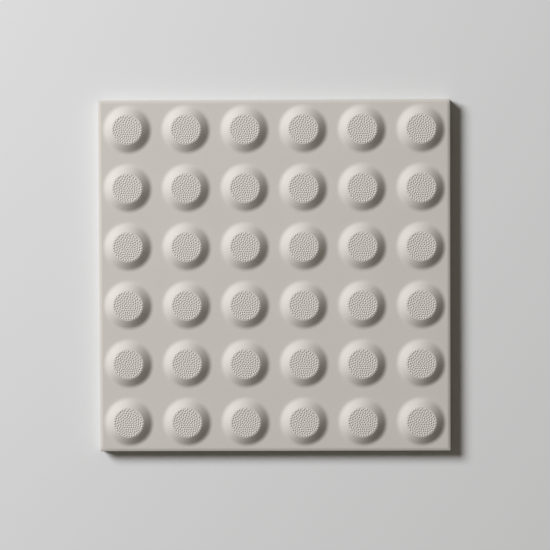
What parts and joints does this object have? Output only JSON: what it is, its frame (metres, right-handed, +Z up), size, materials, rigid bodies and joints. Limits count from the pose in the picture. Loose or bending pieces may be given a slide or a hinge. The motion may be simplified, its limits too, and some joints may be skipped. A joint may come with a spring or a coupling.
{
  "type": "tactile paving slab",
  "caption": "Square tactile paving slab of pressed unglazed porcelain: a square grid of truncated domes on the top face warns of a hazard underfoot, and a keyed back beds it in adhesive.",
  "frame": {"origin": "centre of the underside, on the plane it beds on", "axes": "+X and +Y along the slab's sides, +Z up out of the domed face"},
  "size_m": [0.3, 0.3, 0.017],
  "materials": {
    "porcelain": "matte"
  },
  "bodies": {
    "root": {"tactile_slab": "porcelain"}
  },
  "joints": []
}
